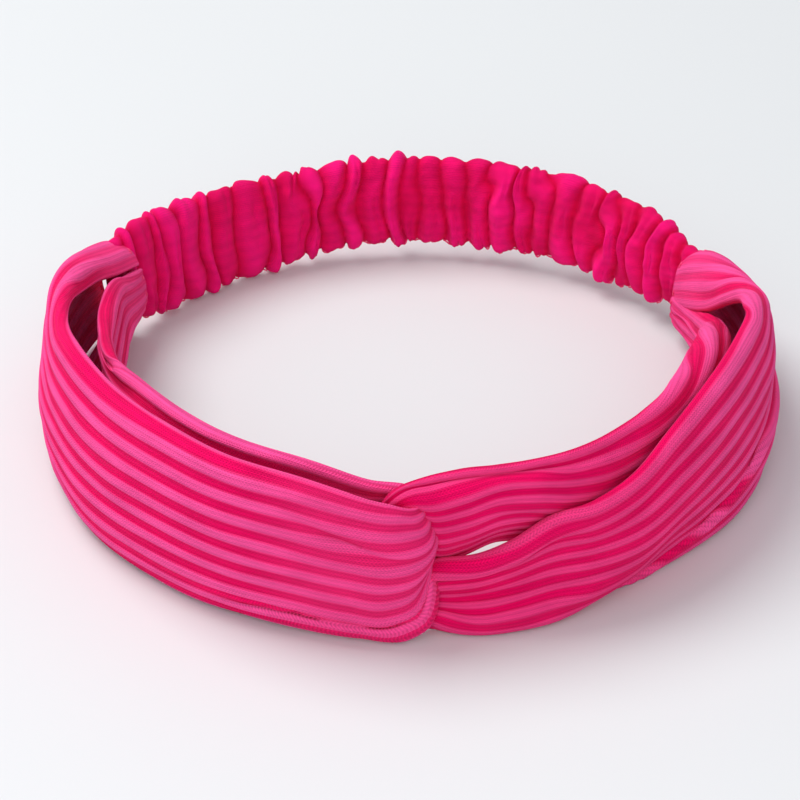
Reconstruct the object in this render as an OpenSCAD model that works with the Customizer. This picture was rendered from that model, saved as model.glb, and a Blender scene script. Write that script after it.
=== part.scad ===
// Twist-front knitted headband: two folded rib-knit panels linked through each other at the front,
// and a ruched casing with an elastic band inside that closes the loop behind.
// The loop stands on its lower edge. The twist faces -Y and the elastic faces +Y.

/* [Loop] */
// Radius of the loop, to the middle of its wall
loop_r = 73.5; // [70:0.5:80]
// Angle from the twist to each end of the elastic casing
end_a = 119; // [114:1:126]

/* [Panels] */
// Height of a panel at the side of the head
panel_h = 41; // [40:1:46]
// Height of the band over the twist
twist_h = 39; // [37:1:42]
// Height of a panel where its end is gathered into the casing
gather_h = 23; // [22:1:28]
// Thickness of one folded layer of rib knit
layer_t = 2.2; // [1.8:0.1:2.6]
// Distance between the middles of a panel's two layers
layer_gap = 3.2; // [3:0.1:3.6]

/* [Twist] */
// How far the left fold reaches past the middle of the front
fold_reach = 5; // [4:0.5:7]
// Height of the left panel where it folds back inside the right loop
fold_h = 16; // [12:1:18]
// Distance between the left panel's two layers where they hold the right panel
fold_gap = 6.2; // [6:0.1:7.4]
// Thickness of the right panel inside the left fold
bend_t = 2.6; // [2.2:0.1:3]
// Gap between the linked panels, above and below the left fold
link_clear = 1; // [0.6:0.1:1.4]

/* [Elastic] */
// Height of the ruched casing
casing_h = 23; // [22:0.5:26]
// Thickness of the casing across its folds
casing_t = 8.4; // [7:0.2:9]
// Width of the elastic band
elastic_w = 18; // [16:1:18]
// Thickness of the elastic band
elastic_t = 1.2; // [1:0.1:1.5]
// Height of the casing above the surface that the band stands on
casing_lift = 3; // [2:0.5:4]

/* [Thread] */
// Diameter of the sewing thread
thread_d = 0.5; // [0.4:0.1:0.6]
// Length of one stitch
stitch_len = 3; // [2.5:0.5:3.5]
// Stitches along each panel's closing seam
seam_stitches = 30; // [20:1:34]

/* [Hidden] */

rib_pink = "#f5307f";
casing_pink = "#ee1070";
thread_pink = "#d80c62";
elastic_white = "#f2f0ee";

edge_cut = 0.5;                       // chamfer along a layer's edges
body_gap = 0.3;                       // gap between the panels' ends and the casing
skim = 0.05;                          // gap between a stitch and the cloth that it lies on
curve_skim = 0.08;                    // the same gap on the casing's curved side
edge_play = 0.7;                      // room in the casing above and below the elastic
face_play = 0.6;                      // room in the casing on each side of the elastic
elastic_rise = 0.6;                   // how far the elastic sits above the middle of the casing
end_inset = 3;                        // distance of the end stitches from a panel's end
end_rows = 4;
end_first = 5;                        // height of the lowest end stitch above a panel's lower edge
end_pitch = 4.6;
tack_inset = 6;                       // distance of the tacks from the casing's ends
tack_pitch = 2.4;
seam_first = 40;                      // distance of the panel seam's first stitch from the twist
seam_stop = 10;                       // distance of its last stitch from the panel's end
end_arc = loop_r * end_a * PI / 180;  // length of the wall from the twist to a panel's end
leg_steps = 34;
bend_steps = 8;
fold_mid = twist_h / 2 + 1.5;         // height of the middle of the left fold
fold_low = fold_mid - fold_h / 2;
fold_high = fold_mid + fold_h / 2;

// ---- Geometry helpers ----

// A point of the wall: arc is the length from the twist, out is the distance outside the wall's middle.
function wall(arc, out, z) =
    let (a = arc / loop_r * 180 / PI) [(loop_r + out) * sin(a), -(loop_r + out) * cos(a), z];

// A value read from a list of [arc, value], rounded off over a few millimetres.
function eased(arc, list, width = 6) =
    (lookup(arc - width, list) + 2 * lookup(arc, list) + lookup(arc + width, list)) / 4;

// A layer's outline between two edges, as [position from the lower edge to the upper, offset] pairs.
function outline(len, t) =
    let (c = edge_cut, h = t / 2)
    [[c, h], [len - c, h], [len, h - c], [len, c - h], [len - c, -h], [c, -h], [0, c - h], [0, h - c]];

// A closed solid through a list of rings that all have the same number of points.
module loft(rings) {
    n = len(rings[0]);
    last = len(rings) - 1;
    sides = [for (i = [0:last - 1], j = [0:n - 1])
        [i * n + j, i * n + (j + 1) % n, (i + 1) * n + (j + 1) % n, (i + 1) * n + j]];
    split = [for (q = sides) each [[q[0], q[1], q[2]], [q[0], q[2], q[3]]]];
    first_cap = [for (j = [n - 1:-1:0]) j];
    last_cap = [for (j = [0:n - 1]) last * n + j];
    polyhedron([for (r = rings) each r], concat([first_cap], split, [last_cap]));
}

// One stitch that lies along the wall, and one that stands up it.
module stitch_along(arc, out, z) {
    translate(wall(arc, out, z))
        rotate([0, 90, arc / loop_r * 180 / PI])
            cylinder(d = thread_d, h = stitch_len, center = true, $fn = 24);
}

module stitch_upright(arc, out, z) {
    translate(wall(arc, out, z)) cylinder(d = thread_d, h = stitch_len, center = true, $fn = 24);
}

// ---- Left panel: it folds back on itself round an upright line, so its loop lies flat ----

left_low = [[-end_arc, casing_lift], [-end_arc + 22, 0], [-16, 0], [-4, 3], [fold_reach, fold_low]];
left_high = [[-end_arc, casing_lift + gather_h], [-end_arc + 40, panel_h], [-60, panel_h],
             [-14, twist_h], [-4, twist_h - 4], [fold_reach, fold_high]];
left_gap = [[-end_arc, layer_gap], [-30, layer_gap], [-14, fold_gap], [fold_reach, fold_gap]];

// turn is 0 on the outer layer, 180 on the inner one, and between them round the fold.
function left_ring(arc, turn) =
    let (flat = arc < fold_reach - 0.01,
         low = flat ? eased(arc, left_low, 3) : fold_low,
         high = flat ? eased(arc, left_high, 3) : fold_high,
         half = eased(arc, left_gap) / 2)
    [for (p = outline(high - low, layer_t))
        wall(arc + (half + p[1]) * sin(turn), (half + p[1]) * cos(turn), low + p[0])];

function left_arc(i) = -end_arc + (end_arc + fold_reach) * i / leg_steps;

module left_panel() {
    color(rib_pink) loft(concat(
        [for (i = [0:leg_steps]) left_ring(left_arc(i), 0)],
        [for (i = [1:bend_steps - 1]) left_ring(fold_reach, 180 * i / bend_steps)],
        [for (i = [leg_steps:-1:0]) left_ring(left_arc(i), 180)]));
}

// ---- Right panel: its two layers part at the front, over and under the left fold ----

bend_arc = -3;                        // where the right panel turns, inside the left fold
bend_out = 8;                         // width of the turn
parting = [[fold_reach + 6, 0], [26, 1], [end_arc, 1]];   // share of the layers' distance
lower_low = [[bend_arc, 1], [16, 0], [end_arc - 22, 0], [end_arc, casing_lift]];
lower_high = [[bend_arc, fold_low - link_clear], [fold_reach + 4, fold_low - link_clear],
              [20, fold_mid - 1.2], [28, fold_mid + 0.5], [40, 30], [64, panel_h - 4],
              [end_arc - 40, panel_h], [end_arc, casing_lift + gather_h]];
upper_low = [[bend_arc, fold_high + link_clear], [fold_reach + 4, fold_high + link_clear],
             [20, fold_mid + 1.2], [28, fold_mid - 2], [40, 8], [62, 1], [end_arc - 22, 0],
             [end_arc, casing_lift]];
upper_high = [[bend_arc, twist_h], [20, twist_h + 1], [60, panel_h], [end_arc - 40, panel_h],
              [end_arc, casing_lift + gather_h]];

// side is 1 on the outer, lower layer and -1 on the inner, upper one.
function right_ring(arc, side) =
    let (low = eased(arc, side > 0 ? lower_low : upper_low, 3),
         high = eased(arc, side > 0 ? lower_high : upper_high, 3),
         out = side * layer_gap / 2 * eased(arc, parting))
    [for (p = outline(high - low, layer_t)) wall(arc, out + p[1], low + p[0])];

// The turn between the layers, at angles from -90 below to 90 above.
function turn_ring(a) =
    let (inner = [0, (fold_h / 2 + link_clear) * sin(a)],
         low_z = lookup(bend_arc, lower_low),
         reach = a < 0 ? fold_mid - low_z : twist_h - fold_mid,
         outer = [-bend_out * cos(a), reach * sin(a)],
         span = norm(outer - inner),
         way = (outer - inner) / span)
    [for (p = outline(span, bend_t))
        let (q = inner + p[0] * way) wall(bend_arc + q[0], p[1], fold_mid + q[1])];

// The lower layer's rings start at its lower edge, which is the turn's outer edge.
function flipped(ring) = [for (i = [1, 0, 7, 6, 5, 4, 3, 2]) ring[i]];

function right_arc(i) = end_arc - (end_arc - bend_arc - 1) * i / leg_steps;

module right_panel() {
    color(rib_pink) loft(concat(
        [for (i = [0:leg_steps]) flipped(right_ring(right_arc(i), 1))],
        [for (i = [1:bend_steps - 1]) turn_ring(-90 + 180 * i / bend_steps)],
        [for (i = [leg_steps:-1:0]) right_ring(right_arc(i), -1)]));
}

// ---- Elastic casing and what is in it ----

casing_end = end_a + body_gap / loop_r * 180 / PI;
casing_mid = casing_lift + casing_h / 2;
wall_t = (casing_h - elastic_w) / 2 - edge_play;   // casing's cloth above and below its channel
channel_t = elastic_t + 2 * face_play;

// Turns a section, drawn as [distance from the loop's centre, height], along the back of the loop.
module along_back(first_a) {
    rotate([0, 0, first_a - 90]) rotate_extrude(angle = 360 - 2 * first_a, $fn = 96) children();
}

module elastic_casing() {
    round_r = casing_t / 2;
    color(casing_pink) along_back(casing_end) difference() {
        union() {
            translate([loop_r - round_r, casing_lift + round_r]) square([casing_t, casing_h - casing_t]);
            translate([loop_r, casing_lift + round_r]) circle(r = round_r, $fn = 48);
            translate([loop_r, casing_lift + casing_h - round_r]) circle(r = round_r, $fn = 48);
        }
        translate([loop_r - channel_t / 2, casing_lift + wall_t])
            square([channel_t, casing_h - 2 * wall_t]);
    }
}

module elastic_band() {
    color(elastic_white) along_back(casing_end)
        translate([loop_r - elastic_t / 2, casing_mid + elastic_rise - elastic_w / 2])
            square([elastic_t, elastic_w]);
}

module casing_seam_thread() {
    color(thread_pink) along_back(casing_end)
        translate([loop_r, casing_lift + wall_t + thread_d / 2 + skim]) circle(d = thread_d, $fn = 24);
}

// ---- Stitching ----

// Upright stitches round a panel's gathered end; side is -1 on the left and 1 on the right.
module end_stitching(side) {
    face = layer_gap / 2 + layer_t / 2 + thread_d / 2 + skim;
    color(thread_pink)
        for (out = [-face, face], k = [0:end_rows - 1])
            stitch_upright(side * (end_arc - end_inset), out, casing_lift + end_first + end_pitch * k);
}

module left_end_stitching() end_stitching(-1);
module right_end_stitching() end_stitching(1);

// The tack that holds an end of the elastic, sewn through the casing on the head's side.
module elastic_tack(side) {
    color(thread_pink)
        for (k = [-2:2])
            stitch_along(side * (end_arc + tack_inset), -casing_t / 2 - thread_d / 2 - curve_skim,
                         casing_mid + tack_pitch * k);
}

module left_elastic_tack() elastic_tack(-1);
module right_elastic_tack() elastic_tack(1);

// The seam that closes a panel, along its inner layer on the head's side.
module panel_seam(side) {
    face = -layer_gap / 2 - layer_t / 2 - thread_d / 2 - skim;
    step = (end_arc - seam_stop - seam_first) / (seam_stitches - 1);
    color(thread_pink)
        for (k = [0:seam_stitches - 1])
            stitch_along(side * (seam_first + step * k), face, casing_lift + gather_h / 2);
}

module left_panel_seam() panel_seam(-1);
module right_panel_seam() panel_seam(1);

left_panel();
right_panel();
elastic_casing();
elastic_band();
casing_seam_thread();
left_end_stitching();
right_end_stitching();
left_elastic_tack();
right_elastic_tack();
left_panel_seam();
right_panel_seam();
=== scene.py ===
import math

import bpy
import numpy as np
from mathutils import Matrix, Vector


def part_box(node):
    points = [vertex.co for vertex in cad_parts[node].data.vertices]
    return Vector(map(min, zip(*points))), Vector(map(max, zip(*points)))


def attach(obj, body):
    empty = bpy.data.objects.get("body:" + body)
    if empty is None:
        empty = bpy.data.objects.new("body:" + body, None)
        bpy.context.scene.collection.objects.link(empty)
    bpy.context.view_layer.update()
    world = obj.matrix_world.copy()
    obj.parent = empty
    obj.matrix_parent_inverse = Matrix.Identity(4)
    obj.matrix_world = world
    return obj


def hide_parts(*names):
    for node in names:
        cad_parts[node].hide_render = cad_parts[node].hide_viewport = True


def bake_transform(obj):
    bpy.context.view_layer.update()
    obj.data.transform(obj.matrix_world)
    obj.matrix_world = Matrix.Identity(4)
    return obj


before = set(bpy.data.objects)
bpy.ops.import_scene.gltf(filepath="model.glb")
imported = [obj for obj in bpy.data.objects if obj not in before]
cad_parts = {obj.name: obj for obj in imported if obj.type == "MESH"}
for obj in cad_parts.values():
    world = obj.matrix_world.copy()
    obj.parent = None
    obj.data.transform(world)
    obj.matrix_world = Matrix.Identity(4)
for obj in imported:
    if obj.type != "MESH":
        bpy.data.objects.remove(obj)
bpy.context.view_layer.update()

# Lengths are in millimetres until a mesh is made. A point of the band is (arc, out, z):
# arc runs along the wall from the twist, out is the distance outside its middle.
MM = 0.001
ELASTIC_T = 1.2             # thickness of the elastic
PLY = 2.1                   # thickness of a panel strip, two plies together
RIB_PITCH = 5.0             # from one rib to the next
CLOTH_W = 44.0              # flat width of a panel strip
EDGE_R = 1.2                # width of a strip's rounded edge
FLOOR_GAP = 0.1             # lowest height of a panel's cloth

elastic_low, elastic_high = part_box("elastic_band")
casing_low, casing_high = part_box("elastic_casing")
LOOP_R = elastic_high.y / MM - ELASTIC_T / 2
CASING_HALF = casing_high.y / MM - LOOP_R
END_ANGLE = math.acos(-casing_low.y / MM / (LOOP_R - CASING_HALF))
END_ARC = LOOP_R * END_ANGLE
BACK_ARC = LOOP_R * math.pi  # arc of the middle of the back


def wall(points):
    """Frame points, in millimetres, of an array of (arc, out, z)."""
    angle = points[..., 0] / LOOP_R
    r = LOOP_R + points[..., 1]
    return np.stack([r * np.sin(angle), -r * np.cos(angle), points[..., 2]], axis=-1)


def smooth(knots, values, at):
    """Values at places along a smooth curve through given knots."""
    knots, values = np.asarray(knots, float), np.asarray(values, float)
    at = np.clip(at, knots[0], knots[-1])
    gap = np.diff(knots)
    shape = (-1,) + (1,) * (values.ndim - 1)
    secant = np.diff(values, axis=0) / gap.reshape(shape)
    slope = np.empty_like(values)
    slope[0], slope[-1] = secant[0], secant[-1]
    before, after = gap[:-1].reshape(shape), gap[1:].reshape(shape)
    slope[1:-1] = (secant[:-1] * after + secant[1:] * before) / (before + after)
    i = np.clip(np.searchsorted(knots, at, side="right") - 1, 0, len(knots) - 2)
    h = gap[i].reshape(shape)
    t = ((at - knots[i]) / gap[i]).reshape(shape)
    return (values[i] * (1 + 2 * t) * (1 - t) ** 2 + slope[i] * h * t * (1 - t) ** 2
            + values[i + 1] * t * t * (3 - 2 * t) + slope[i + 1] * h * t * t * (t - 1))


def along(points):
    """Length along a polyline, from its first point to each of them."""
    step = np.linalg.norm(np.diff(points, axis=0), axis=-1)
    return np.concatenate([[0.0], np.cumsum(step)])


def spaced(points, shares, fine=240):
    """Points at given shares of the length of a smooth curve through points."""
    points = np.asarray(points, float)
    knots = along(points)
    dense = smooth(knots, points, np.linspace(0, knots[-1], fine))
    length = along(dense)
    at = np.asarray(shares) * length[-1]
    return np.stack([np.interp(at, length, dense[:, k]) for k in range(points.shape[1])], axis=-1)


def ramp(x, low, high):
    """0 at low and 1 at high, with a smooth start and end; low may be the larger."""
    t = np.clip((x - low) / (high - low), 0, 1)
    return t * t * (3 - 2 * t)


class Noise:
    """Smooth seeded noise from -1 to 1 over a plane, with features one unit apart."""

    def __init__(self, seed, size=64):
        self.size = size
        self.grid = np.random.default_rng(seed).uniform(-1, 1, (size, size))

    def __call__(self, x, y):
        x, y = np.broadcast_arrays(np.asarray(x, float), np.asarray(y, float))
        i, j = np.floor(x).astype(int), np.floor(y).astype(int)
        fx, fy = x - i, y - j
        fx, fy = fx * fx * (3 - 2 * fx), fy * fy * (3 - 2 * fy)
        g, n = self.grid, self.size
        a, b = g[i % n, j % n], g[(i + 1) % n, j % n]
        c, d = g[i % n, (j + 1) % n], g[(i + 1) % n, (j + 1) % n]
        return (a * (1 - fx) + b * fx) * (1 - fy) + (c * (1 - fx) + d * fx) * fy


# ---- Shapes of the two panels ----
# A station is (arc, points), its points (out, z) or (arc, out, z) from one edge of the strip
# to the other, and the strip runs through its stations in order.

LEFT_STATIONS = [
    (-165.5, [(2.8, 1.8), (4.6, 7.6), (5.2, 14), (4.0, 19.6), (1.0, 23), (-2.6, 22.4),
              (-5.2, 18.4)]),
    (-155, [(2.2, 1.1), (4.1, 8), (4.9, 15), (4.0, 21.4), (1.4, 25.6), (-2.4, 25), (-5.2, 20.6)]),
    (-145, [(0.9, 0.9), (3, 8), (3.9, 15.6), (3.2, 22.6), (1.2, 27.6), (-2, 27.6), (-4.6, 23.8)]),
    (-133, [(-0.4, 0.9), (1.9, 8.2), (2.8, 16.4), (2.4, 24), (1, 29.6), (-1.2, 30.6),
            (-3.4, 27.2)]),
    (-121, [(-1, 1), (1, 8.6), (1.8, 17), (1.8, 25.4), (1, 31.4), (-0.4, 33.2), (-1.6, 31)]),
    (-109, [(-1.2, 1), (0.8, 8.6), (1.8, 17.4), (2, 26.4), (1.4, 32.6), (0.6, 34.6), (-0.2, 33.4)]),
    (-99, [(-1.3, 1), (0.8, 8.8), (1.9, 17.6), (2.2, 26.8), (1.8, 33), (1, 35.4), (0.2, 34.8)]),
    (-90, [(-1.3, 1), (0.9, 8.8), (2, 17.8), (2.4, 26.8), (1.9, 33.2), (0.9, 36), (0, 35.8)]),
    (-70, [(-0.9, 0.8), (1.6, 8.4), (2.6, 17), (2.6, 26), (1.7, 31.8), (0.5, 35), (-0.6, 35.4)]),
    (-50, [(0.7, 0.8), (2.8, 7.6), (3.5, 15.8), (3.4, 24.4), (2.6, 31), (1.4, 35), (0.2, 36.2)]),
    (-34, [(2.8, 0.7), (4.4, 6.6), (4.8, 14.4), (4.6, 22.6), (3.6, 29.4), (2.5, 34), (1.4, 35.6)]),
    (-20, [(4.2, 0.7), (5.1, 5.8), (5.5, 12.3), (5.6, 18), (5.2, 24), (4.3, 29.3), (3.3, 33),
           (2.2, 35)]),
    (-11, [(-8, 4.7, 0.4), (-10, 5.5, 6), (-11, 5.7, 12.2), (-11, 5.7, 17.5), (-11, 5.5, 22.8),
           (-11.4, 4.7, 28), (-12, 3.9, 31.2), (-12.6, 2.8, 33.6)]),
    (-3, [(0.5, 4.6, 0.8), (-3.6, 5.2, 7.6), (-3.5, 5.6, 13.2), (-3, 5.6, 18), (-3, 5.4, 22.5),
          (-3.6, 4.8, 26.6), (-5, 4, 29.4), (-6.4, 3, 31.8)]),
    (1, [(4.6, 3, 3.6), (0.4, 4.6, 10.6), (0.6, 4.9, 15.2), (0.8, 5, 19), (0.8, 4.8, 22.2),
         (0, 4.3, 25.4), (-1.6, 3.6, 28.2), (-3.2, 2.8, 30.9)]),
    (2.6, [(5.4, 1.4, 7.6), (2, 3.2, 13), (2.4, 3.6, 17), (2.8, 3.8, 20), (2.8, 3.7, 22),
           (2, 3.4, 24.4), (0.6, 2.9, 27), (-0.8, 2.2, 29.7)]),
    (3.6, [(4.6, -0.4, 13), (3.4, 0.6, 16.4), (3.7, 1, 19), (4, 1.2, 20.8), (4, 1.2, 21.8),
           (3.4, 1, 23.6), (2.2, 0.7, 26), (0.8, 0.2, 28.6)]),
    (3, [(3.2, -2.4, 14.6), (2.8, -2, 17), (3, -1.8, 19.4), (3.2, -1.7, 21), (3.2, -1.7, 22.2),
         (2.8, -1.8, 24), (1.8, -2, 26.6), (0.6, -2.2, 28.8)]),
    (0, [(-0.6, -4, 13.5), (0.4, -4.3, 17), (1, -4.3, 20), (1, -4.3, 23), (0.8, -4.3, 26),
         (0, -4, 29.4)]),
    (-8, [(-4.4, 7), (-4.6, 13), (-4.6, 19), (-4.6, 25), (-4.4, 31)]),
    (-21, [(-4.4, 2), (-4, 10), (-3.8, 19), (-3.8, 28), (-3.9, 34.6)]),
    (-36, [(-4.4, 1.2), (-3.4, 10), (-3.2, 20), (-3.4, 29), (-4.2, 35.6)]),
    (-52, [(-5, 1), (-3.6, 10), (-3.4, 19), (-3.7, 28), (-4.8, 36.2)]),
    (-66, [(-4.6, 1.5), (-5.4, 9), (-5, 18), (-4.8, 26), (-5, 32), (-5.8, 35.6)]),
    (-80, [(-3.2, 1.4), (-7.6, 7), (-8.6, 16), (-7.6, 24.6), (-7, 30.4), (-6.8, 33.6)]),
    (-95, [(-2, 1.2), (-8, 4), (-11.2, 11), (-11.2, 17.6), (-9.8, 22.6), (-9, 27.2),
           (-8.2, 29.8), (-7.2, 29.4)]),
    (-112, [(-3.4, 1), (-8.4, 3.2), (-12, 9), (-12.4, 15.4), (-11, 19.4), (-9.8, 23.4),
            (-9, 26.8), (-7.8, 26.8)]),
    (-130, [(-2.5, 1), (-7.4, 2.8), (-11.6, 7.8), (-12.4, 13.4), (-11.2, 17.4), (-10, 21.4),
            (-9, 24.8), (-7.4, 25)]),
    (-146, [(-1.0, 1.3), (-5.6, 3), (-9.4, 6.8), (-10.4, 11.4), (-9.6, 15.2), (-8.8, 19.2),
            (-8, 22.8), (-6.8, 23.6)]),
    (-157, [(0.3, 1.7), (-4.4, 3.6), (-7.2, 7), (-8.1, 11), (-7.8, 14.6), (-7.2, 17.8),
            (-6.4, 20)]),
    (-165.5, [(0.8, 2.6), (-3.6, 4.4), (-6, 7.4), (-6.7, 10.8), (-6.5, 14.6), (-5.9, 18)]),
]

RIGHT_STATIONS = [
    (165.5, [(2.6, 5), (3.9, 8.2), (4.2, 12), (3.4, 16.2), (1, 19.8), (-2.4, 19.4), (-4.8, 15.8),
             (-5.6, 11.6), (-5.2, 8.2)]),
    (155, [(2.4, 3.6), (4, 8.4), (4.2, 14), (3, 19.4), (0.2, 23.2), (-3.4, 23.4), (-6, 19.8),
           (-7, 15.6), (-6.8, 12.2)]),
    (143, [(1.2, 2), (3, 8.6), (3.5, 15), (2.8, 20.8), (0.8, 25), (-1.8, 26.4), (-4.4, 24.4),
           (-6, 20.6), (-6.2, 17.4)]),
    (132, [(-0.1, 1.4), (1.8, 8.6), (2.5, 15.6), (2.4, 22.4), (1.2, 27.2), (-0.6, 29.4),
           (-2.6, 29), (-4, 26.8), (-4.4, 24.4)]),
    (121, [(-1.6, 1), (0.5, 8.6), (1.7, 16.4), (2.2, 24.2), (1.8, 29.6), (0.8, 32.6),
           (-0.5, 33.4), (-1.7, 32.2), (-2.2, 30.6)]),
    (109, [(-2.4, 1), (0, 8.6), (1.4, 17), (2.2, 26.2), (1.9, 32.8), (1.1, 35.8), (0.2, 36.6),
           (-0.5, 36), (-0.9, 35.2)]),
    (100, [(-2.6, 1), (-0.1, 8.6), (1.4, 17.6), (2.2, 27), (1.9, 33.6), (0.9, 36.8),
           (-0.5, 37.4)]),
    (93, [(-2.6, 1), (-0.1, 8.6), (1.4, 17.6), (2.1, 27.2), (1.7, 33.8), (0.7, 36.8),
          (-0.7, 37.4)]),
    (80, [(-3, 1), (-0.1, 8.6), (1.6, 17.2), (2.3, 26), (1.9, 33), (0.8, 36.2), (-0.5, 37)]),
    (67, [(-4, 1.2), (-0.6, 8.2), (2, 16), (2.9, 24), (2.3, 30.6), (1.1, 34.4), (0, 35.4)]),
    (56, [(-4.4, 1.2), (-1, 7), (2.4, 14), (3.4, 20.8), (2.6, 27.2), (1.7, 31.4), (0.6, 32.8)]),
    (44, [(-3.6, 0.9), (0.4, 4.4), (3.4, 10.2), (4, 16.2), (3.3, 22.2), (2.8, 26.4), (1.8, 28)]),
    (35, [(-1.8, 0.9), (2, 3.2), (3.6, 7.4), (3, 11.6), (2.8, 16.8), (3.2, 21.4), (3.2, 24),
          (1.8, 25.2)]),
    (27, [(-0.6, 0.9), (2.8, 1.6), (3.6, 4.4), (2.2, 8), (1.6, 12), (1.8, 16.4), (2, 19.6),
          (3.2, 21.6), (2.4, 23.2), (0.8, 23)]),
    (19, [(-0.4, 0.9), (2.8, 1.4), (3.7, 3.8), (2, 6.6), (0.8, 9), (0.8, 12), (1.2, 15.2),
          (2.9, 17), (2.9, 19), (1, 19.4)]),
    (13, [(-0.6, 0.9), (2.4, 1.4), (3.2, 3.6), (1.6, 6.2), (0.2, 8), (0, 11), (0.4, 13.2),
          (2, 14.4), (2.2, 16.2), (0.2, 16.6)]),
    (7, [(7, -1.4, 1), (7, 0.8, 1.4), (7, 1.4, 3.2), (7, 0.2, 5), (6.6, -0.8, 7.6),
         (6.4, -0.8, 10.4), (6.2, -0.4, 12.4), (6, 0.9, 13.6), (6, 0.9, 15.2), (6.2, -0.8, 15.6)]),
    (1, [(0, -0.6, 2.6), (0.5, -0.8, 7), (1, -0.8, 11), (1.6, -0.8, 15)]),
    (-4, [(-6, -0.6, 7.6), (-4.6, -0.6, 11), (-3.4, -0.6, 14), (-2, -0.6, 17)]),
    (-6, [(-9.4, -0.6, 17), (-7.6, -0.6, 17.6), (-5.4, -0.6, 18.2), (-3, -0.6, 19)]),
    (-4, [(-6, -0.6, 26.4), (-4.6, -0.6, 24.4), (-3.4, -0.6, 22.8), (-2, -0.6, 21)]),
    (1, [(-3, -0.8, 31.2), (-1.4, -0.6, 29.2), (0.6, -0.6, 26), (2.4, -0.8, 21.6)]),
    (5, [(3.4, -3, 33), (4, -2.2, 31), (4.4, -0.8, 30), (4.8, 0, 26.6), (5, -0.2, 22),
         (5.4, -1.4, 17.6), (5.6, -3.4, 14.4)]),
    (10, [(-3.4, 34), (-2.6, 31.6), (-1, 31), (0.2, 28), (0.1, 23.4), (-1.4, 18.6),
          (-3.6, 14.8)]),
    (17, [(-3.6, 33.9), (-2.7, 31.8), (-1, 31.6), (0.3, 28.8), (0, 24.2), (-1.4, 20),
          (-2.8, 18.4)]),
    (24, [(-3.8, 33.7), (-2.8, 31.6), (-1.1, 31.2), (0, 28.4), (-0.8, 22.8), (-3, 16.6)]),
    (31, [(-4, 33.6), (-3, 31.4), (-1.4, 30.6), (-0.6, 27.2), (-1.8, 20), (-4, 12)]),
    (40, [(-4.2, 34), (-3.2, 32), (-1.8, 31), (-1.3, 26.4), (-2.5, 17), (-4.4, 7)]),
    (49, [(-4.4, 35), (-3.4, 33.4), (-2.2, 32), (-1.9, 26.4), (-2.8, 16), (-4.6, 4)]),
    (58, [(-4.8, 35.6), (-3.6, 34.8), (-2.7, 32.4), (-2.5, 26), (-3, 15), (-5, 2)]),
    (70, [(-6, 35), (-4.6, 36), (-3.5, 33.6), (-3.3, 25.6), (-3.4, 14.4), (-5.4, 2)]),
    (82, [(-8, 33), (-6.6, 35.8), (-4.8, 35), (-4.2, 29), (-4.4, 20), (-5.6, 11), (-6, 2)]),
    (95, [(-10, 28.6), (-9.2, 32.4), (-7.2, 34), (-5.8, 31.4), (-6, 24.6), (-8, 16.6),
          (-8.4, 9), (-4.4, 1.8)]),
    (107, [(-11.2, 23.6), (-10.4, 28), (-8.4, 30.6), (-6.8, 28.6), (-7.2, 22.8), (-9.6, 15.6),
           (-9.6, 8), (-3.6, 1.8)]),
    (121, [(-11, 18.4), (-10.2, 22.4), (-8.6, 24.8), (-7.4, 23), (-7.8, 18.6), (-9.8, 13),
           (-9.8, 7), (-3.4, 1.8)]),
    (135, [(-10.2, 14), (-9.4, 17.2), (-8.2, 19), (-7.2, 17.6), (-7.4, 14.4), (-8.8, 10.4),
           (-8.6, 6), (-3, 2)]),
    (149, [(-8.4, 10.6), (-7.8, 12.6), (-7, 13.6), (-6.4, 12.6), (-6.4, 10.8), (-7.2, 8.4),
           (-6.8, 5.6), (-2.6, 2.8)]),
    (158, [(-7, 9.4), (-6.6, 10.8), (-6, 11.4), (-5.6, 10.6), (-5.6, 9.4), (-6, 7.6),
           (-5.6, 5.8), (-2.4, 3.4)]),
    (165.5, [(-5.8, 8.6), (-5.6, 9.4), (-5.1, 9.8), (-4.8, 9.2), (-4.8, 8.4), (-5, 7),
             (-4.6, 5.6), (-2.2, 4)]),
]

STATION_END = 166.5         # arc of the seams in the lists above
SIDE_LEAN = 3.4             # how far the side walls spread at the floor
LEAN_PIVOT = 20.0           # height where the lean changes side
ROWS = 104
COLUMN_STEP = 1.05
RIB_RISE = 0.42
TWIST_RIBS = 0.42           # how much of a rib's rise is left at the twist
END_RIBS = 0.4              # and at the gathered ends
# END_TONE is a value of the painted rib tone, partly the knit's own tone and partly painted light.
END_TONE = 0.78             # the cloth's tone where gathered ribs close up, 1 is a rib's
END_SEAM = 4.0              # length over which a strip thins towards its sewn end


def row_shares():
    """Places across a strip: even, with closer rows at its rounded edges."""
    edge = np.array([0, 0.10, 0.3, 0.6, 1.0]) * EDGE_R / CLOTH_W
    inner = np.linspace(edge[-1], 1 - edge[-1], ROWS - 8)[1:-1]
    return np.concatenate([edge, inner, (1 - edge)[::-1]])


def station_points(arc, points):
    """A station's points with the side walls' lean, and arcs scaled to the CAD's seams."""
    points = np.asarray(points, float)
    if points.shape[1] == 2:
        points = np.insert(points, 0, arc, axis=1)
    arc = np.abs(points[:, 0])
    side = ramp(arc, 24, 74) * ramp(arc, 166, 112)
    points[:, 1] += SIDE_LEAN * side * (LEAN_PIVOT - points[:, 2]) / LEAN_PIVOT
    points[:, 2] *= 1 - 0.04 * side
    points[:, 0] *= 1 + (END_ARC / STATION_END - 1) * ramp(arc, 0, STATION_END)
    return points


def strip_middle(stations, shares):
    """The strip's middle surface as (column, row, arc-out-z), and the length along it."""
    rings = np.array([spaced(station_points(*s), shares) for s in stations])
    step = np.linalg.norm(np.diff(rings, axis=0), axis=-1).mean(axis=1)
    knots = np.concatenate([[0.0], np.cumsum(step)])
    at = np.linspace(0, knots[-1], int(knots[-1] / COLUMN_STEP))
    return smooth(knots, rings, at), at


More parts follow.
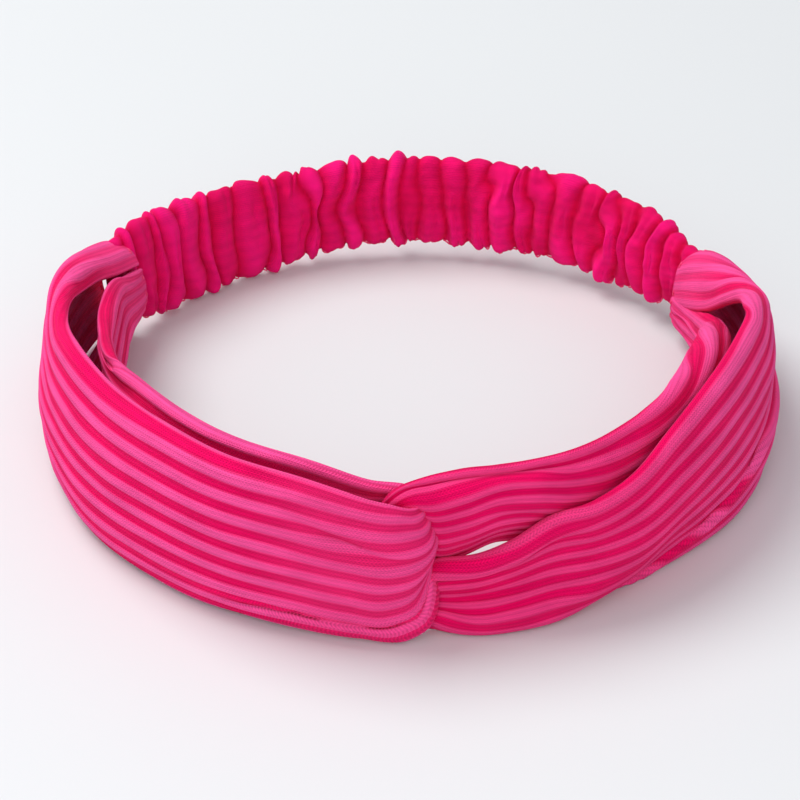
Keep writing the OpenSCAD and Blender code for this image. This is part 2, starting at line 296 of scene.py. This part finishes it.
def rib_height(across, phase=0.0):
    """1 on the middle of a rib and 0 in the flat knit between ribs."""
    wave = 0.5 + 0.5 * np.cos(2 * np.pi * (across / RIB_PITCH + phase))
    return ramp(wave, 0.2, 0.8)


def rib_presence(arc, soft_to, full_from):
    """How far ribs stand out: less at the twist and where the ends are gathered."""
    away = np.abs(arc)
    middle = TWIST_RIBS + (1 - TWIST_RIBS) * ramp(away, soft_to, full_from)
    return middle * (1 - (1 - END_RIBS) * ramp(away, END_ARC - 38, END_ARC - 8))


def normals_of(grid):
    """Unit normals of a surface given as a grid of points."""
    along_s = np.gradient(grid, axis=0)
    along_v = np.gradient(grid, axis=1)
    n = np.cross(along_s, along_v)
    return n / np.maximum(np.linalg.norm(n, axis=-1, keepdims=True), 1e-9)


def new_mesh(name, verts, faces):
    """A smooth-shaded object from points in millimetres."""
    mesh = bpy.data.meshes.new(name)
    mesh.from_pydata((np.asarray(verts) * MM).tolist(), [], faces)
    mesh.validate()
    mesh.polygons.foreach_set("use_smooth", np.ones(len(mesh.polygons), bool))
    obj = bpy.data.objects.new(name, mesh)
    bpy.context.scene.collection.objects.link(obj)
    return obj


def add_uv(obj, uv):
    """The cloth map: one place in millimetres for each point of the mesh."""
    layer = obj.data.uv_layers.new(name="cloth")
    corner = np.empty(len(obj.data.loops), int)
    obj.data.loops.foreach_get("vertex_index", corner)
    layer.data.foreach_set("uv", np.asarray(uv)[corner].astype(np.float32).ravel())


def add_value(obj, name, values):
    """A named value for each point of the mesh, for its material."""
    attribute = obj.data.attributes.new(name, "FLOAT", "POINT")
    attribute.data.foreach_set("value", np.asarray(values, np.float32).ravel())


def tube_faces(columns, ring):
    """Quads of a tube of columns, each a ring of points."""
    i = np.arange(columns - 1)[:, None] * ring
    j = np.arange(ring)[None, :]
    k = (j + 1) % ring
    return np.stack([i + j, i + k, i + ring + k, i + ring + j], axis=-1).reshape(-1, 4).tolist()


def capped(faces, columns, ring):
    """The same faces, with a flat one on each end of the tube."""
    last = (columns - 1) * ring
    return faces + [list(range(ring))[::-1], [last + j for j in range(ring)]]


def strip_faces(columns, rows):
    """Faces of a flattened tube: two plies that share their edges, and both ends."""
    ring = 2 * rows - 2
    faces = tube_faces(columns, ring)
    for base, flip in ((0, False), ((columns - 1) * ring, True)):
        for j in range(rows - 1):
            face = [base + j, base + j + 1, base + (ring - j - 1) % ring, base + (ring - j) % ring]
            face = list(dict.fromkeys(face))
            faces.append(face[::-1] if flip else face)
    return faces


def build_strip(name, stations, rib_phase, wrinkle, soft_to, full_from, base_tone, shape_more):
    """A flattened tube of rib knit along its stations, with ribs on both plies."""
    shares = row_shares()
    middle, at = strip_middle(stations, shares)
    across = shares * CLOTH_W
    grid = wall(middle)
    laid = np.linalg.norm(np.diff(grid, axis=1), axis=-1).sum(axis=1)
    tight = np.clip(1 - laid / CLOTH_W, 0, 0.8)
    normal = normals_of(grid)
    noise, fine = Noise(wrinkle), Noise(wrinkle + 1)
    a, v = at[:, None], across[None, :]
    sway = 0.55 * noise(a / 26, v / 9) + 0.22 * fine(a / 9 + v / 30, v / 4.5)
    grow = 1 + 1.1 * tight[:, None]
    grid = grid + normal * (sway * (0.45 + 1.1 * tight[:, None]))[..., None]
    grid = shape_more(grid, normal, middle, shares)
    normal = normals_of(grid)
    edge = np.minimum(across, CLOTH_W - across)
    half = PLY / 2 * np.sqrt(1 - (1 - np.clip(edge / EDGE_R, 0, 1)) ** 2)
    from_end = ramp(np.minimum(at, at[-1] - at), 0, END_SEAM)[:, None]
    half = half[None, :] * (0.5 + 0.5 * from_end)
    presence = rib_presence(middle[..., 0], soft_to, full_from)
    bend = v + 0.5 * noise(a / 40 + 7, v / 20)
    rib_front, rib_back = rib_height(bend, rib_phase), rib_height(bend, rib_phase + 0.37)
    rise = RIB_RISE * grow * presence * from_end * np.clip(edge / EDGE_R, 0, 1)[None, :]
    front = grid + normal * (half + rise * rib_front)[..., None]
    back = grid - normal * (half + rise * rib_back)[..., None]
    inner = slice(len(shares) - 2, 0, -1)
    rings = np.concatenate([front, back[:, inner]], axis=1)
    rings[..., 2] = np.maximum(rings[..., 2], FLOOR_GAP)
    obj = new_mesh(name, rings.reshape(-1, 3), strip_faces(len(at), len(shares)))
    across_all = np.concatenate([across, across[inner] + 2 * CLOTH_W])
    uv = np.stack(np.broadcast_arrays(at[:, None], across_all[None, :]), axis=-1)
    add_uv(obj, uv.reshape(-1, 2))
    # Tone for the material, from the flats to the rib tops: partly the knit's own tone and partly
    # painted light, lit rib tops and shaded flats.
    base = base_tone + (END_TONE - base_tone) * ramp(np.abs(middle[..., 0]), 52, 118)
    tones = [base + (rib - base) * presence for rib in (rib_front, rib_back)]
    ridge_tone_and_light = np.concatenate([tones[0], tones[1][:, inner]], axis=1)
    add_value(obj, "ridge_tone_and_light", ridge_tone_and_light)
    return obj, {"middle": middle, "front": front, "back": back, "shares": shares}


def left_crease(grid, normal, middle, shares):
    """The crease over the lower bundle of ribs beside the twist, and the ridges under it."""
    arc = middle[..., 0]
    columns = len(arc)
    peak = int(np.argmax(arc[:, len(shares) // 2]))
    front = (np.arange(columns) <= peak)[:, None]
    near = ramp(arc, -44, -12) * front
    share = shares[None, :]
    crease_at = 0.17 + 0.02 * np.sin(arc / 7)
    groove = np.exp(-((share - crease_at) / 0.018) ** 2)
    below = ramp(share, crease_at, crease_at - 0.05)
    ridges = np.cos(2 * np.pi * share / 0.052) * below
    lift = -1.5 * groove - 0.9 * below + 0.45 * ridges
    hollow = np.exp(-((arc + 9) / 9) ** 2) * np.exp(-((share - 0.62 + arc * 0.008) / 0.05) ** 2)
    lift = lift * near - 1.1 * hollow * front
    return grid + normal * lift[..., None]


def right_crease(grid, normal, middle, shares):
    """The lower band of the right panel, set back behind a crease that climbs to the side."""
    arc = middle[..., 0]
    columns = len(arc)
    bend = int(np.argmin(arc[:, len(shares) // 2]))
    front = (np.arange(columns) <= bend)[:, None]
    share = shares[None, :]
    crease_at = 0.30 * ramp(arc, 30, 96)
    near = ramp(arc, 32, 46) * ramp(arc, 128, 100) * front
    below = ramp(share, crease_at, crease_at - 0.03)
    groove = np.exp(-((share - crease_at + 0.01) / 0.014) ** 2)
    lift = -(1.3 * below + 0.8 * groove) * near
    return grid + normal * lift[..., None]


# base_tone is the flats' value in each panel's painted rib tone, partly painted light: lighter on
# the left panel than on the right.
left_panel, left_data = build_strip(
    "left_panel_knit", LEFT_STATIONS, rib_phase=0.1, wrinkle=11,
    soft_to=12, full_from=44, base_tone=0.5, shape_more=left_crease)
right_panel, right_data = build_strip(
    "right_panel_knit", RIGHT_STATIONS, rib_phase=0.3, wrinkle=23,
    soft_to=34, full_from=104, base_tone=0.16, shape_more=right_crease)

# ---- Ruched casing ----

FOLDS = 30
FOLD_RISE = 3.1             # from the hollows to the tops of the folds
BRANCH_RISE = 1.6           # the same for the short folds between them
KNIT_STRETCH = 1.7          # length of the knit's map for each length of the casing
CASING_HALF_T = 2.7         # half thickness and half height between folds
CASING_HALF_H = 10.6
CASING_FLOOR = 0.6          # its lowest height
CASING_COLUMNS = 400
CASING_ROWS = 104
CASING_IN = 4.5             # how far the casing reaches inside each panel's end
CASING_MID = (casing_low.z + casing_high.z) / 2 / MM
CASING_FIRST = END_ARC - CASING_IN
CASING_LAST = 2 * BACK_ARC - END_ARC + CASING_IN


def casing_section():
    """Outline of the casing between folds, as (out, z from its middle), evenly spaced."""
    angle = np.linspace(0, 2 * np.pi, 721)
    c, s = np.cos(angle), np.sin(angle)
    out = np.sign(c) * np.abs(c) ** 0.8 * CASING_HALF_T
    up = np.sign(s) * np.abs(s) ** 0.72 * CASING_HALF_H
    points = np.stack([out, up], axis=-1)
    length = along(points)
    at = np.linspace(0, length[-1], CASING_ROWS + 1)[:-1]
    return np.stack([np.interp(at, length, points[:, k]) for k in range(2)], axis=-1)


def casing_drop(arc):
    """How far the casing lies above its CAD height; on the left it sags below it."""
    sag = ramp(arc, BACK_ARC, BACK_ARC + 38) * ramp(arc, BACK_ARC + 78, BACK_ARC + 56)
    return 0.3 - 2.2 * sag


def casing_height(arc, first, last):
    """Share of the casing's full height: squeezed at the right seam, fuller on the left."""
    right = 0.64 + 0.36 * ramp(arc, first, first + 20)
    left = 1 + 0.12 * ramp(arc, BACK_ARC + 20, BACK_ARC + 46) - 0.16 * ramp(arc, last - 10, last)
    return right * left


def fold_lift(u, w):
    """How far folds push the casing out of its section, and how high on a fold a point is."""
    rng = np.random.default_rng(5)
    width = (CASING_LAST - CASING_FIRST) / FOLDS
    shift = rng.uniform(-0.3, 0.3, FOLDS + 3)
    centres = CASING_FIRST + width * (np.arange(FOLDS + 3) - 1 + shift)
    warp, depth, small = Noise(31, 48), Noise(37, 48), Noise(41, 48)
    x, y = np.cos(2 * np.pi * w), np.sin(2 * np.pi * w)
    drift = 2.6 * warp(u / 9 + 0.6 * x, 0.6 * y + 9) + 0.7 * warp(u / 4 + 1.5 * x, 1.5 * y + 3)
    phase = np.interp(u + drift, centres, np.arange(len(centres)))
    ridge = np.abs(np.sin(np.pi * phase)) ** 0.6
    tall = rng.uniform(0.55, 1.15, len(centres) + 1)
    each = tall[np.clip(np.floor(phase), 0, len(centres)).astype(int)]
    crest = ridge * (each * (0.86 + 0.34 * depth(u / 8 + 0.9 * x, 0.9 * y)))
    side = np.abs(np.sin(np.pi * 2 * phase + 0.8)) ** 0.7
    branch = np.clip(small(u / 6 + 1.1 * x, 1.1 * y) + 0.15, 0, 1)
    lift = FOLD_RISE * (crest - 0.5) + BRANCH_RISE * (side - 0.6) * branch
    lift = lift + 0.25 * small(u / 2.2 + 4 * x, 4 * y)
    return lift, crest, warp(u / 4 + x, y)


def section_normals(section):
    normal = np.roll(section, -1, axis=0) - np.roll(section, 1, axis=0)
    normal = np.stack([normal[:, 1], -normal[:, 0]], axis=-1)
    return normal / np.linalg.norm(normal, axis=-1, keepdims=True)


def casing_lean(up):
    """How far the casing and its elastic lie inside the wall's middle, at a height in them."""
    return 1.4 + 1.0 * (1 - up / 11)


def build_casing():
    """The ruched tube across the back."""
    arc = np.linspace(CASING_FIRST, CASING_LAST, CASING_COLUMNS)
    turn = np.linspace(0, 1, CASING_ROWS, endpoint=False)
    u, w = arc[:, None], turn[None, :]
    section = casing_section()
    normal = section_normals(section)
    lift, crest, sway = fold_lift(u, w)
    ends = (ramp(arc, CASING_FIRST, CASING_FIRST + 8)
            * ramp(-arc, -CASING_LAST, -CASING_LAST + 8))[:, None]
    lift = lift * (0.3 + 0.7 * ends) * (1 - 0.3 * np.abs(normal[:, 1])[None, :])
    height = casing_height(arc, CASING_FIRST, CASING_LAST)[:, None]
    points = np.repeat(section[None], CASING_COLUMNS, axis=0)
    points[..., 0] *= 0.85 + 0.15 * ends
    points[..., 1] *= height
    points = points + normal[None] * lift[..., None]
    face = ramp(np.abs(points[..., 1]), 10.2 * height, 10.2 * height - 1.8)
    thin = 1.15 * face * np.sign(section[None, :, 0])
    out = np.where(np.abs(points[..., 0]) < np.abs(thin), thin, points[..., 0])
    out -= casing_lean(points[..., 1]) * (0.5 + 0.5 * ends)
    z = points[..., 1] + CASING_MID + casing_drop(arc)[:, None]
    ring = np.stack([np.broadcast_to(u, lift.shape) + 0.8 * sway * ends, out, z], axis=-1)
    ring[..., 2] = np.maximum(ring[..., 2], CASING_FLOOR)
    faces = capped(tube_faces(CASING_COLUMNS, CASING_ROWS), CASING_COLUMNS, CASING_ROWS)
    obj = new_mesh("elastic_casing_knit", wall(ring).reshape(-1, 3), faces)
    around = turn * along(np.vstack([section, section[:1]]))[-1]
    uv = np.stack(np.broadcast_arrays(KNIT_STRETCH * (u - CASING_FIRST), around[None, :]), axis=-1)
    add_uv(obj, uv.reshape(-1, 2))
    # Painted light and shade: the fold tops take the casing's light colour and the hollows between
    # folds its dark one.
    add_value(obj, "ridge_tone_and_light", np.clip(crest, 0, 1))
    return obj


casing = build_casing()

# ---- Elastic webbing and thread ----


WEBBING_CORD = (1.5, 0.14)  # from one lengthwise cord to the next, and how far each rises


def build_webbing():
    """Woven elastic inside the casing, with its lengthwise cords."""
    pitch, rise = WEBBING_CORD
    width = (elastic_high.z - elastic_low.z) / MM
    mid = (elastic_high.z + elastic_low.z) / 2 / MM
    columns, rows = 150, 46
    first, last = END_ARC + 0.6, 2 * BACK_ARC - END_ARC - 0.6
    arc = np.linspace(first, last, columns)
    up = np.linspace(-width / 2, width / 2, rows)
    cord = rise * np.cos(2 * np.pi * up / pitch)
    edge = np.sqrt(np.clip(1 - (np.abs(up) / (width / 2)) ** 14, 0, 1))
    half = (ELASTIC_T / 2 - rise) * edge + cord * edge
    outs = np.concatenate([half, -half[-2:0:-1]])
    ups = np.concatenate([up, up[-2:0:-1]])
    squeeze = casing_height(arc, first - CASING_IN, last + CASING_IN)
    squeeze = np.minimum(squeeze, 1)[:, None] * 0.96
    height = ups[None, :] * squeeze + mid + casing_drop(arc)[:, None] - 0.3
    out = outs[None, :] - casing_lean(ups[None, :])
    ring = np.stack(np.broadcast_arrays(arc[:, None], out, height), axis=-1)
    count = len(outs)
    faces = capped(tube_faces(columns, count), columns, count)
    obj = new_mesh("elastic_webbing", wall(ring).reshape(-1, 3), faces)
    uv = np.stack(np.broadcast_arrays((arc - arc[0])[:, None], ups[None, :] + outs[None, :]), -1)
    add_uv(obj, uv.reshape(-1, 2))
    return obj


webbing = build_webbing()

THREAD_R = 0.19
THREAD_SIDES = 8
STITCH_POINTS = 6           # points along each stitch


def thread_tubes(name, paths):
    """One mesh of short threads, each along its own points."""
    verts, faces = [], []
    for path in paths:
        path = np.asarray(path, float)
        ahead = np.gradient(path, axis=0)
        ahead /= np.linalg.norm(ahead, axis=-1, keepdims=True)
        side = np.cross(ahead, [0.31, 0.52, 0.79])
        side /= np.linalg.norm(side, axis=-1, keepdims=True)
        other = np.cross(ahead, side)
        angle = np.linspace(0, 2 * np.pi, THREAD_SIDES, endpoint=False)
        taper = np.ones(len(path))
        taper[[0, -1]] = 0.45
        r = (THREAD_R * taper)[:, None, None]
        ring = (path[:, None] + r * np.cos(angle)[None, :, None] * side[:, None]
                + r * np.sin(angle)[None, :, None] * other[:, None])
        start = len(verts)
        verts.extend(ring.reshape(-1, 3).tolist())
        tube = capped(tube_faces(len(path), THREAD_SIDES), len(path), THREAD_SIDES)
        faces.extend([[start + k for k in face] for face in tube])
    obj = new_mesh(name, verts, faces)
    lengths = np.zeros((len(verts), 2))
    lengths[:, 0] = np.arange(len(verts)) * 0.05
    add_uv(obj, lengths)
    return obj


def stitch_rise(base, bow, dip):
    """How far a stitch's points stand off the cloth: bowed, with its ends sunk in."""
    share = np.linspace(0, 1, STITCH_POINTS)
    rise = base + bow * np.sin(np.pi * share) - dip * np.abs(2 * share - 1) ** 6
    return rise[:, None]


def panel_seam(name, face, data, away, row_share, stitches=30, length=2.6):
    """The line of stitches that closes a panel, along its inner layer."""
    middle = data["middle"]
    row = int(row_share * (len(data["shares"]) - 1))
    half = len(middle) // 2
    normal = normals_of(face)
    arc = np.abs(middle[:, row, 0])
    start = half + int(np.argmax(arc[half:] > 42))
    stop = half + int(np.argmax(arc[half:] > END_ARC - 8))
    paths = []
    for k in np.linspace(start, stop, stitches):
        span = np.linspace(k, k + length, STITCH_POINTS)
        near = np.clip(np.round(span).astype(int), 0, len(middle) - 1)
        low = np.floor(span).astype(int)
        part = (span - low)[:, None]
        points = face[low, row] * (1 - part) + face[low + 1, row] * part
        paths.append(points - away * normal[near, row] * stitch_rise(0.12, 0.3, 0.5))
    return thread_tubes(name, paths)


left_seam = panel_seam(
    "left_panel_seam_stitches", left_data["front"], left_data, away=-1, row_share=0.14)
right_seam = panel_seam(
    "right_panel_seam_stitches", right_data["back"], right_data, away=1, row_share=0.86)


def end_stitches(name, data):
    """Upright stitches round a panel's gathered end, on both of its legs."""
    paths = []
    for column, face, away in ((1, data["front"], 1), (1, data["back"], -1),
                               (-2, data["front"], 1), (-2, data["back"], -1)):
        normal = normals_of(face) * away
        rows = np.linspace(8, len(data["shares"]) - 16, 5).astype(int)
        for r in rows:
            span = r + np.arange(STITCH_POINTS)
            paths.append(face[column, span] + normal[column, span] * stitch_rise(0.02, 0.16, 0.4))
    return thread_tubes(name, paths)


left_ends = end_stitches("left_end_stitches", left_data)
right_ends = end_stitches("right_end_stitches", right_data)


def casing_point(arc, turn_index):
    """The casing's nearest point to an arc, at one place round its section."""
    share = (arc - CASING_FIRST) / (CASING_LAST - CASING_FIRST)
    index = int(round(share * (CASING_COLUMNS - 1))) * CASING_ROWS + turn_index % CASING_ROWS
    return np.array(casing.data.vertices[index].co) / MM


def casing_line(name, arcs, turn_index, length):
    """Stitches along the casing at one place round its section."""
    paths = []
    centre_row = (turn_index + CASING_ROWS // 2) % CASING_ROWS
    for arc in arcs:
        span = np.linspace(arc, arc + length, STITCH_POINTS)
        points = np.array([casing_point(a, turn_index) for a in span])
        middle = np.array([casing_point(a, centre_row) for a in span])
        away = points - middle
        away /= np.linalg.norm(away, axis=-1, keepdims=True)
        paths.append(points + away * stitch_rise(0.1, 0.3, 0.4))
    return thread_tubes(name, paths)


BOTTOM_TURN = CASING_ROWS * 3 // 4
INSIDE_TURN = CASING_ROWS // 2
seam_arcs = np.arange(END_ARC + 2, 2 * BACK_ARC - END_ARC - 4, 3.4)
casing_seam = casing_line("casing_seam_stitches", seam_arcs, BOTTOM_TURN, 2.4)


def tack(name, arc):
    """The bar of stitches that holds one end of the elastic."""
    lines = [casing_line(f"{name}.{k}", [arc], INSIDE_TURN + k * 3, 3.0) for k in range(-2, 3)]
    with bpy.context.temp_override(active_object=lines[0], selected_editable_objects=lines):
        bpy.ops.object.join()
    lines[0].name = name
    return lines[0]


left_tack = tack("left_elastic_tack_stitches", 2 * BACK_ARC - END_ARC + 1.3)
right_tack = tack("right_elastic_tack_stitches", END_ARC - 4.3)

# ---- Materials ----


def linear(code):
    """Linear colour of a hex code."""
    parts = [int(code[k:k + 2], 16) / 255 for k in (1, 3, 5)]
    return tuple(p / 12.92 if p < 0.04045 else ((p + 0.055) / 1.055) ** 2.4 for p in parts) + (1,)


class Nodes:
    """Short calls for building a material's nodes."""

    def __init__(self, name):
        self.material = bpy.data.materials.new(name)
        self.material.use_nodes = True
        self.tree = self.material.node_tree
        self.shader = self.tree.nodes["Principled BSDF"]

    def add(self, kind, inputs=(), **settings):
        made = self.tree.nodes.new("ShaderNode" + kind)
        for key, value in settings.items():
            setattr(made, key, value)
        for key, value in dict(inputs).items():
            if isinstance(value, bpy.types.NodeSocket):
                self.tree.links.new(value, made.inputs[key])
            else:
                made.inputs[key].default_value = value
        return made

    def math(self, operation, a, b=0.0, c=0.0):
        return self.add("Math", {0: a, 1: b, 2: c}, operation=operation).outputs[0]

    def mix(self, factor, a, b, blend="MIX"):
        made = self.add("Mix", data_type="RGBA", blend_type=blend)
        sockets = {"Factor": made.inputs[0], "A": made.inputs[6], "B": made.inputs[7]}
        for key, value in (("Factor", factor), ("A", a), ("B", b)):
            if isinstance(value, bpy.types.NodeSocket):
                self.tree.links.new(value, sockets[key])
            else:
                sockets[key].default_value = value
        return made.outputs[2]

    def remap(self, value, low, high, to_low=0.0, to_high=1.0):
        made = self.add("MapRange", {"Value": value, "From Min": low, "From Max": high,
                                     "To Min": to_low, "To Max": to_high})
        return made.outputs["Result"]


def knit_height(n, wale, course):
    """Height of small knitted loops on the cloth map, whose unit is a millimetre."""
    uv = n.add("UVMap", uv_map="cloth").outputs["UV"]
    split = n.add("SeparateXYZ", {"Vector": uv})
    x, y = split.outputs["X"], split.outputs["Y"]
    across = n.math("PINGPONG", y, wale / 2)
    away = n.math("DIVIDE", across, wale / 2)
    slant = n.math("MULTIPLY_ADD", away, 0.9, n.math("DIVIDE", x, course))
    wave = n.math("SINE", n.math("MULTIPLY", slant, 2 * math.pi))
    crown = n.math("SINE", n.math("MULTIPLY", away, math.pi))
    loops = n.math("MULTIPLY_ADD", wave, 0.5, n.math("MULTIPLY", crown, 0.7))
    return loops, uv


def cloth_noise(n, uv, scale, detail, stretch=(1, 1, 1)):
    """Noise on the cloth map, stretched along it."""
    place = n.add("Mapping", {"Vector": uv, "Scale": stretch})
    made = n.add("TexNoise", {"Vector": place.outputs["Vector"], "Scale": scale, "Detail": detail})
    return made.outputs["Fac"]


def knit_material(name, low, high, wale, course, fine, fine_dark, sheen, rib_shadow_line):
    """Knitted cloth: low colour in the hollows and high on rib and fold tops, as painted light and
    shade; on ribs it is partly the knit's own tone as well.
    """
    n = Nodes(name)
    loops, uv = knit_height(n, wale, course)
    ridge_tone_and_light = n.add("Attribute", attribute_name="ridge_tone_and_light", attribute_type="GEOMETRY").outputs["Fac"]
    # Painted light and shade: the light colour on rib and fold tops and the dark one in the
    # hollows, on ribs partly the knit's own tone.
    soft = n.remap(ridge_tone_and_light, 0.15, 0.85)
    colour = n.mix(soft, linear(low), linear(high))
    # Painted shadow: a thin dark line along the edge of each rib, in the dark line colour given for
    # the material.
    if rib_shadow_line:
        band = n.math("SUBTRACT", ridge_tone_and_light, 0.22)
        line = n.remap(n.math("ABSOLUTE", band), 0.0, 0.2, 0.3, 0.0)
        colour = n.mix(line, colour, linear(rib_shadow_line))
    shade = n.remap(cloth_noise(n, uv, 0.22, 3.0, (0.5, 1, 1)), 0.3, 0.7, 0.9, 1.08)
    fleck = n.remap(cloth_noise(n, uv, 2.6, 1.0), 0.3, 0.7, 0.94, 1.05)
    stitch = n.remap(loops, -0.5, 1.2, 0.74, 1.16)
    ridge = n.math("PINGPONG", n.add("SeparateXYZ", {"Vector": uv}).outputs["Y"], fine / 2)
    ridges = n.remap(ridge, 0.0, fine / 2, fine_dark, 1.05)
    level = n.math("MULTIPLY", n.math("MULTIPLY", shade, fleck),
                   n.math("MULTIPLY", stitch, ridges))
    grey = n.add("CombineColor", {0: level, 1: level, 2: level}).outputs[0]
    colour = n.mix(1.0, colour, grey, "MULTIPLY")
    n.tree.links.new(colour, n.shader.inputs["Base Color"])
    rough = n.remap(loops, -0.5, 1.2, 0.86, 0.72)
    n.tree.links.new(rough, n.shader.inputs["Roughness"])
    bump = n.add("Bump", {"Height": loops, "Strength": 0.55, "Distance": 0.00022})
    n.tree.links.new(bump.outputs["Normal"], n.shader.inputs["Normal"])
    n.shader.inputs["Sheen Weight"].default_value = sheen
    n.shader.inputs["Sheen Roughness"].default_value = 0.38
    n.shader.inputs["Sheen Tint"].default_value = linear("#ff6cae")
    n.shader.inputs["Specular IOR Level"].default_value = 0.08
    return n.material


def webbing_material():
    """Pale woven elastic: picks across lengthwise cords."""
    n = Nodes("elastic_webbing")
    uv = n.add("UVMap", uv_map="cloth").outputs["UV"]
    split = n.add("SeparateXYZ", {"Vector": uv})
    x, y = split.outputs["X"], split.outputs["Y"]
    picks = n.math("SINE", n.math("MULTIPLY", x, 2 * math.pi / 0.7))
    cords = n.math("SINE", n.math("MULTIPLY", y, 2 * math.pi / WEBBING_CORD[0]))
    weave = n.math("MULTIPLY", picks, cords)
    tone = n.remap(weave, -1, 1)
    colour = n.mix(tone, linear("#cfccc8"), linear("#f6f4f1"))
    n.tree.links.new(colour, n.shader.inputs["Base Color"])
    n.tree.links.new(n.remap(tone, 0, 1, 0.75, 0.6), n.shader.inputs["Roughness"])
    bump = n.add("Bump", {"Height": weave, "Strength": 0.5, "Distance": 0.0002})
    n.tree.links.new(bump.outputs["Normal"], n.shader.inputs["Normal"])
    return n.material


def thread_material():
    """Twisted sewing thread."""
    n = Nodes("sewing_thread")
    uv = n.add("UVMap", uv_map="cloth").outputs["UV"]
    split = n.add("SeparateXYZ", {"Vector": uv})
    twist = n.math("SINE", n.math("MULTIPLY", split.outputs["X"], 2 * math.pi / 0.6))
    tone = n.remap(twist, -1, 1)
    colour = n.mix(tone, linear("#e00058"), linear("#ff3a88"))
    n.tree.links.new(colour, n.shader.inputs["Base Color"])
    n.tree.links.new(n.remap(tone, 0, 1, 0.6, 0.45), n.shader.inputs["Roughness"])
    n.shader.inputs["Sheen Weight"].default_value = 0.2
    return n.material


def floor_material():
    """A pale matt surface with a faint cloud in its tone."""
    n = Nodes("pale_floor")
    place = n.add("TexCoord").outputs["Object"]
    cloud = n.add("TexNoise", {"Vector": place, "Scale": 2.0, "Detail": 2.0}).outputs["Fac"]
    tone = n.remap(cloud, 0.3, 0.7)
    colour = n.mix(tone, linear("#d6d9db"), linear("#dbdee0"))
    n.tree.links.new(colour, n.shader.inputs["Base Color"])
    n.shader.inputs["Roughness"].default_value = 0.55
    n.shader.inputs["Specular IOR Level"].default_value = 0.3
    return n.material


rib_knit = knit_material(
    "rib_knit", low="#f40060", high="#ff529c", wale=0.9, course=0.62,
    fine=1.25, fine_dark=0.88, sheen=0.2, rib_shadow_line="#c80050")
plain_knit = knit_material(
    "plain_knit", low="#dc0046", high="#ff147e", wale=0.8, course=0.55,
    fine=2.4, fine_dark=0.96, sheen=0.12, rib_shadow_line=None)
webbing_look = webbing_material()
thread_look = thread_material()

for piece in (left_panel, right_panel):
    piece.data.materials.append(rib_knit)
casing.data.materials.append(plain_knit)
webbing.data.materials.append(webbing_look)
threads = (left_seam, right_seam, left_ends, right_ends, casing_seam, left_tack, right_tack)
for piece in threads:
    piece.data.materials.append(thread_look)

# ---- Which body each piece follows; the CAD parts they replace are hidden ----

for piece in (left_panel, right_panel, left_seam, right_seam, left_ends, right_ends):
    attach(piece, "front")
for piece in (casing, webbing, casing_seam, left_tack, right_tack):
    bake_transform(piece)

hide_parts("left_panel")
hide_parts("right_panel")
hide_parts("elastic_casing")
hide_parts("elastic_band")
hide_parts("casing_seam_thread")
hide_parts("left_end_stitching")
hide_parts("right_end_stitching")
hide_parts("left_elastic_tack")
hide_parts("right_elastic_tack")
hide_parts("left_panel_seam")
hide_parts("right_panel_seam")

# ---- Floor, light and camera ----


def build_floor(half=3.0, below=0.0002):
    """A square floor just under the band, its sides twice half."""
    mesh = bpy.data.meshes.new("floor")
    corners = [(-half, -half, 0), (half, -half, 0), (half, half, 0), (-half, half, 0)]
    mesh.from_pydata(corners, [], [(0, 1, 2, 3)])
    obj = bpy.data.objects.new("floor", mesh)
    obj.location.z = -below
    bpy.context.scene.collection.objects.link(obj)
    mesh.materials.append(floor_material())
    return obj


build_floor()


def area_light(name, place, size, power, colour, aim=(0, 0, 0.02)):
    """A round soft light that faces the band."""
    data = bpy.data.lights.new(name, "AREA")
    data.shape, data.size = "DISK", size
    data.energy, data.color = power, colour
    obj = bpy.data.objects.new(name, data)
    obj.location = place
    way = Vector(aim) - obj.location
    obj.rotation_euler = way.to_track_quat("-Z", "Y").to_euler()
    bpy.context.scene.collection.objects.link(obj)


area_light("key", (-0.55, 0.30, 1.1), 0.9, 12.5, (1.0, 0.985, 0.97))
area_light("front_fill", (-0.1, -1.0, 0.6), 1.2, 5.4, (0.97, 0.98, 1.0))

world = bpy.data.worlds.new("pale_studio")
world.use_nodes = True
world.node_tree.nodes["Background"].inputs["Color"].default_value = (0.93, 0.94, 0.97, 1)
world.node_tree.nodes["Background"].inputs["Strength"].default_value = 0.55
bpy.context.scene.world = world

CAMERA_TARGET = Vector((-0.0016, 0.0062, 0))
CAMERA_ELEVATION = math.radians(33)
CAMERA_DISTANCE = 0.522
camera_data = bpy.data.cameras.new("camera")
camera_data.sensor_width, camera_data.lens = 36, 108
camera_data.clip_start = 0.01
camera = bpy.data.objects.new("camera", camera_data)
camera.location = CAMERA_TARGET + CAMERA_DISTANCE * Vector(
    (0, -math.cos(CAMERA_ELEVATION), math.sin(CAMERA_ELEVATION)))
camera.rotation_euler = (math.pi / 2 - CAMERA_ELEVATION, 0, 0)
bpy.context.scene.collection.objects.link(camera)
bpy.context.scene.camera = camera
bpy.context.scene.view_settings.view_transform = "Standard"
